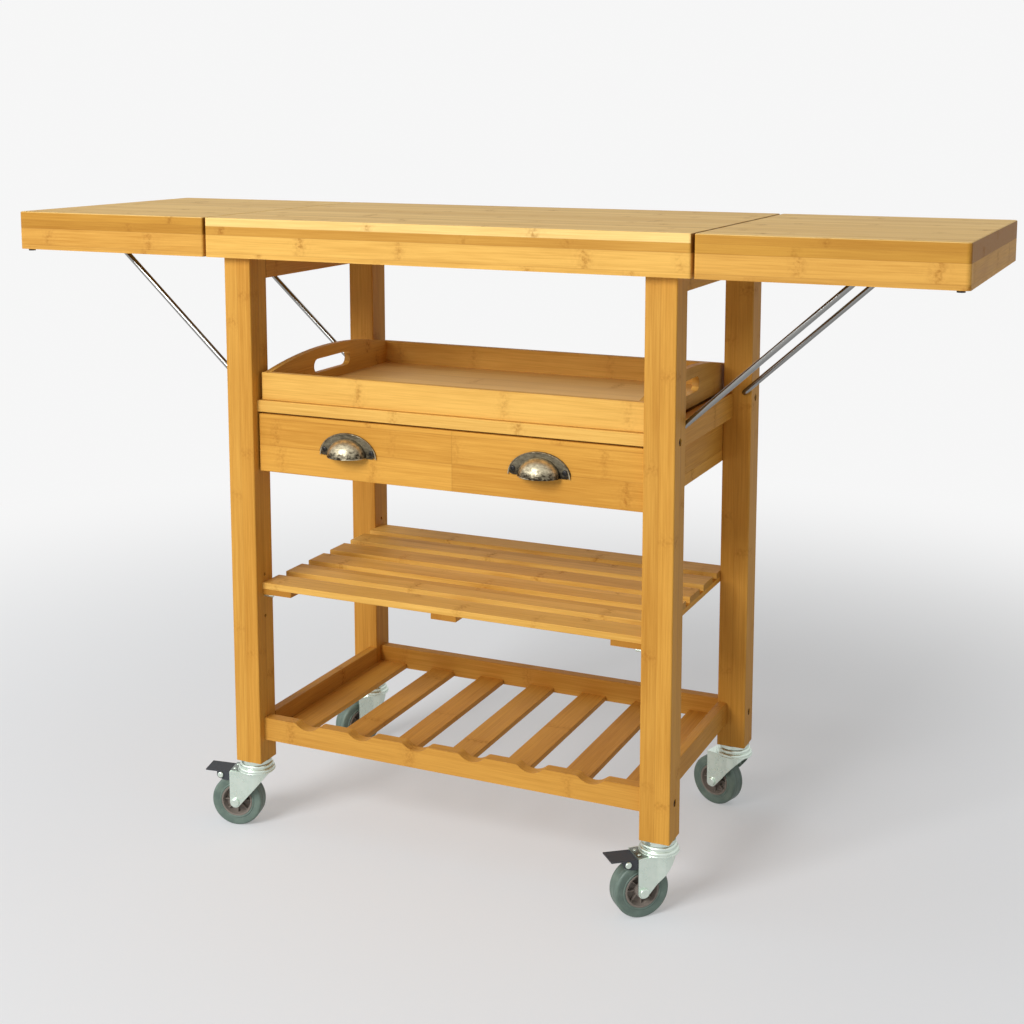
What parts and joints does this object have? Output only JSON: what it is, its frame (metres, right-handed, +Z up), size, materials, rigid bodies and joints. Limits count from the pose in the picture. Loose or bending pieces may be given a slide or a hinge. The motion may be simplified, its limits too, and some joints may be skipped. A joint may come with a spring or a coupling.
{
  "type": "drop leaf kitchen island",
  "caption": "Bamboo kitchen island on swivel casters with two drop leaves on wire bails, a lift-out tray, a drawer with cup pulls, a slatted shelf and a wine rack.",
  "frame": {"origin": "on the floor, under the middle of the whole outline with both leaves raised and the casters turned as pictured; the middle of the worktop lies 13 mm behind it", "axes": "+X to the right along the island as seen from its drawer side, +Y towards its back, +Z up"},
  "size_m": [1.364, 0.4401, 0.894],
  "materials": {
    "bamboo_light": "satin lacquered bamboo, pale boards of the top",
    "bamboo_honey": "satin lacquered bamboo, honey coloured legs, rails and slats",
    "panel": "thin bamboo panel, darker",
    "zinc": "bright zinc plated",
    "chrome_rod": "polished",
    "antique_brass": "aged, mottled brown with worn highlights",
    "dark_steel": "blackened",
    "black_rubber": "matte",
    "grey_tyre": "grey green tread rubber",
    "hub_plastic": "dark brown",
    "pedal_plastic": "black"
  },
  "bodies": {
    "frame": {"centre_top_board": "bamboo_light", "centre_top_aprons": "bamboo_honey", "hinge_frame_plates": "zinc", "hinge_frame_screws": "zinc", "leg_front_left": "bamboo_honey", "leg_front_right": "bamboo_honey", "leg_back_left": "bamboo_honey", "leg_back_right": "bamboo_honey", "top_side_rails": "bamboo_honey", "frame_bolts": "dark_steel", "tray_strips": "bamboo_honey", "box_side_rails": "bamboo_honey", "drawer_guards": "bamboo_honey", "drawer_runners": "bamboo_honey", "box_back_panel": "panel", "shelf_slats": "bamboo_honey", "shelf_battens": "bamboo_honey", "shelf_pins": "zinc", "rack_front_rail": "bamboo_honey", "rack_back_rail": "bamboo_honey", "rack_side_rails": "bamboo_honey", "rack_slats": "bamboo_honey", "caster_mounts": "zinc"},
    "left_leaf": {"left_leaf_board": "bamboo_light", "left_leaf_rails": "bamboo_honey", "left_bail_catch": "bamboo_honey", "left_hinge_plates": "zinc", "left_hinge_screws": "zinc", "left_leaf_bumpers": "black_rubber"},
    "left_bail_prop": {"left_bail": "chrome_rod"},
    "right_leaf": {"right_leaf_board": "bamboo_light", "right_leaf_rails": "bamboo_honey", "right_bail_catch": "bamboo_honey", "right_hinge_plates": "zinc", "right_hinge_screws": "zinc", "right_leaf_bumpers": "black_rubber"},
    "right_bail_prop": {"right_bail": "chrome_rod"},
    "drawer": {"drawer_front": "bamboo_honey", "drawer_sides": "bamboo_honey", "drawer_back": "bamboo_honey", "drawer_bottom": "panel", "cup_pulls": "antique_brass", "pull_screws": "dark_steel"},
    "tray": {"tray_floor": "panel", "tray_long_walls": "bamboo_honey", "tray_end_walls": "bamboo_honey"},
    "caster_front_left": {"caster_fork_front_left": "zinc"},
    "wheel_front_left": {"tyre_front_left": "grey_tyre", "hub_front_left": "hub_plastic"},
    "brake_front_left": {"brake_pedal_front_left": "pedal_plastic"},
    "caster_front_right": {"caster_fork_front_right": "zinc"},
    "wheel_front_right": {"tyre_front_right": "grey_tyre", "hub_front_right": "hub_plastic"},
    "brake_front_right": {"brake_pedal_front_right": "pedal_plastic"},
    "caster_back_left": {"caster_fork_back_left": "zinc"},
    "wheel_back_left": {"tyre_back_left": "grey_tyre", "hub_back_left": "hub_plastic"},
    "caster_back_right": {"caster_fork_back_right": "zinc"},
    "wheel_back_right": {"tyre_back_right": "grey_tyre", "hub_back_right": "hub_plastic"}
  },
  "joints": [
    {"name": "left_leaf_hinge", "type": "hinge", "parent": "frame", "child": "left_leaf", "pos_m": [-0.355, 0.013, 0.8358], "axis": [0, -1, 0], "range_deg": [0, 90]},
    {"name": "left_bail_pivot", "type": "hinge", "parent": "frame", "child": "left_bail_prop", "pos_m": [-0.322, 0.013, 0.639], "axis": [0, -1, 0], "range_deg": [0, 132.36]},
    {"name": "right_leaf_hinge", "type": "hinge", "parent": "frame", "child": "right_leaf", "pos_m": [0.355, 0.013, 0.8358], "axis": [0, 1, 0], "range_deg": [0, 90]},
    {"name": "right_bail_pivot", "type": "hinge", "parent": "frame", "child": "right_bail_prop", "pos_m": [0.322, 0.013, 0.639], "axis": [0, 1, 0], "range_deg": [0, 132.36]},
    {"name": "drawer_slide", "type": "slide", "parent": "frame", "child": "drawer", "axis": [0, -1, 0], "range_m": [0, 0.25]},
    {"name": "tray_slide", "type": "slide", "parent": "frame", "child": "tray", "axis": [0, -1, 0], "range_m": [0, 0.37]},
    {"name": "swivel_front_left", "type": "hinge", "parent": "frame", "child": "caster_front_left", "pos_m": [-0.311, -0.159, 0.09], "axis": [0, 0, 1], "continuous": true},
    {"name": "spin_front_left", "type": "hinge", "parent": "caster_front_left", "child": "wheel_front_left", "pos_m": [-0.33817, -0.16577, 0.0375], "axis": [0.2419, -0.9703, 0], "continuous": true},
    {"name": "brake_front_left", "type": "hinge", "parent": "caster_front_left", "child": "brake_front_left", "pos_m": [-0.35951, -0.1711, 0.078], "axis": [0.2419, -0.9703, 0], "range_deg": [0, 15]},
    {"name": "swivel_front_right", "type": "hinge", "parent": "frame", "child": "caster_front_right", "pos_m": [0.311, -0.159, 0.09], "axis": [0, 0, 1], "continuous": true},
    {"name": "spin_front_right", "type": "hinge", "parent": "caster_front_right", "child": "wheel_front_right", "pos_m": [0.29052, -0.1781, 0.0375], "axis": [0.682, -0.7314, 0], "continuous": true},
    {"name": "brake_front_right", "type": "hinge", "parent": "caster_front_right", "child": "brake_front_right", "pos_m": [0.27443, -0.1931, 0.078], "axis": [0.682, -0.7314, 0], "range_deg": [0, 15]},
    {"name": "swivel_back_left", "type": "hinge", "parent": "frame", "child": "caster_back_left", "pos_m": [-0.311, 0.185, 0.09], "axis": [0, 0, 1], "continuous": true},
    {"name": "spin_back_left", "type": "hinge", "parent": "caster_back_left", "child": "wheel_back_left", "pos_m": [-0.32457, 0.16051, 0.0375], "axis": [0.8746, -0.4848, 0], "continuous": true},
    {"name": "swivel_back_right", "type": "hinge", "parent": "frame", "child": "caster_back_right", "pos_m": [0.311, 0.185, 0.09], "axis": [0, 0, 1], "continuous": true},
    {"name": "spin_back_right", "type": "hinge", "parent": "caster_back_right", "child": "wheel_back_right", "pos_m": [0.28422, 0.19319, 0.0375], "axis": [-0.2924, -0.9563, 0], "continuous": true}
  ],
  "couplings": [
    {"joint": "left_bail_pivot", "follows": "left_leaf_hinge", "ratio": 1.4706},
    {"joint": "right_bail_pivot", "follows": "right_leaf_hinge", "ratio": 1.4706}
  ]
}
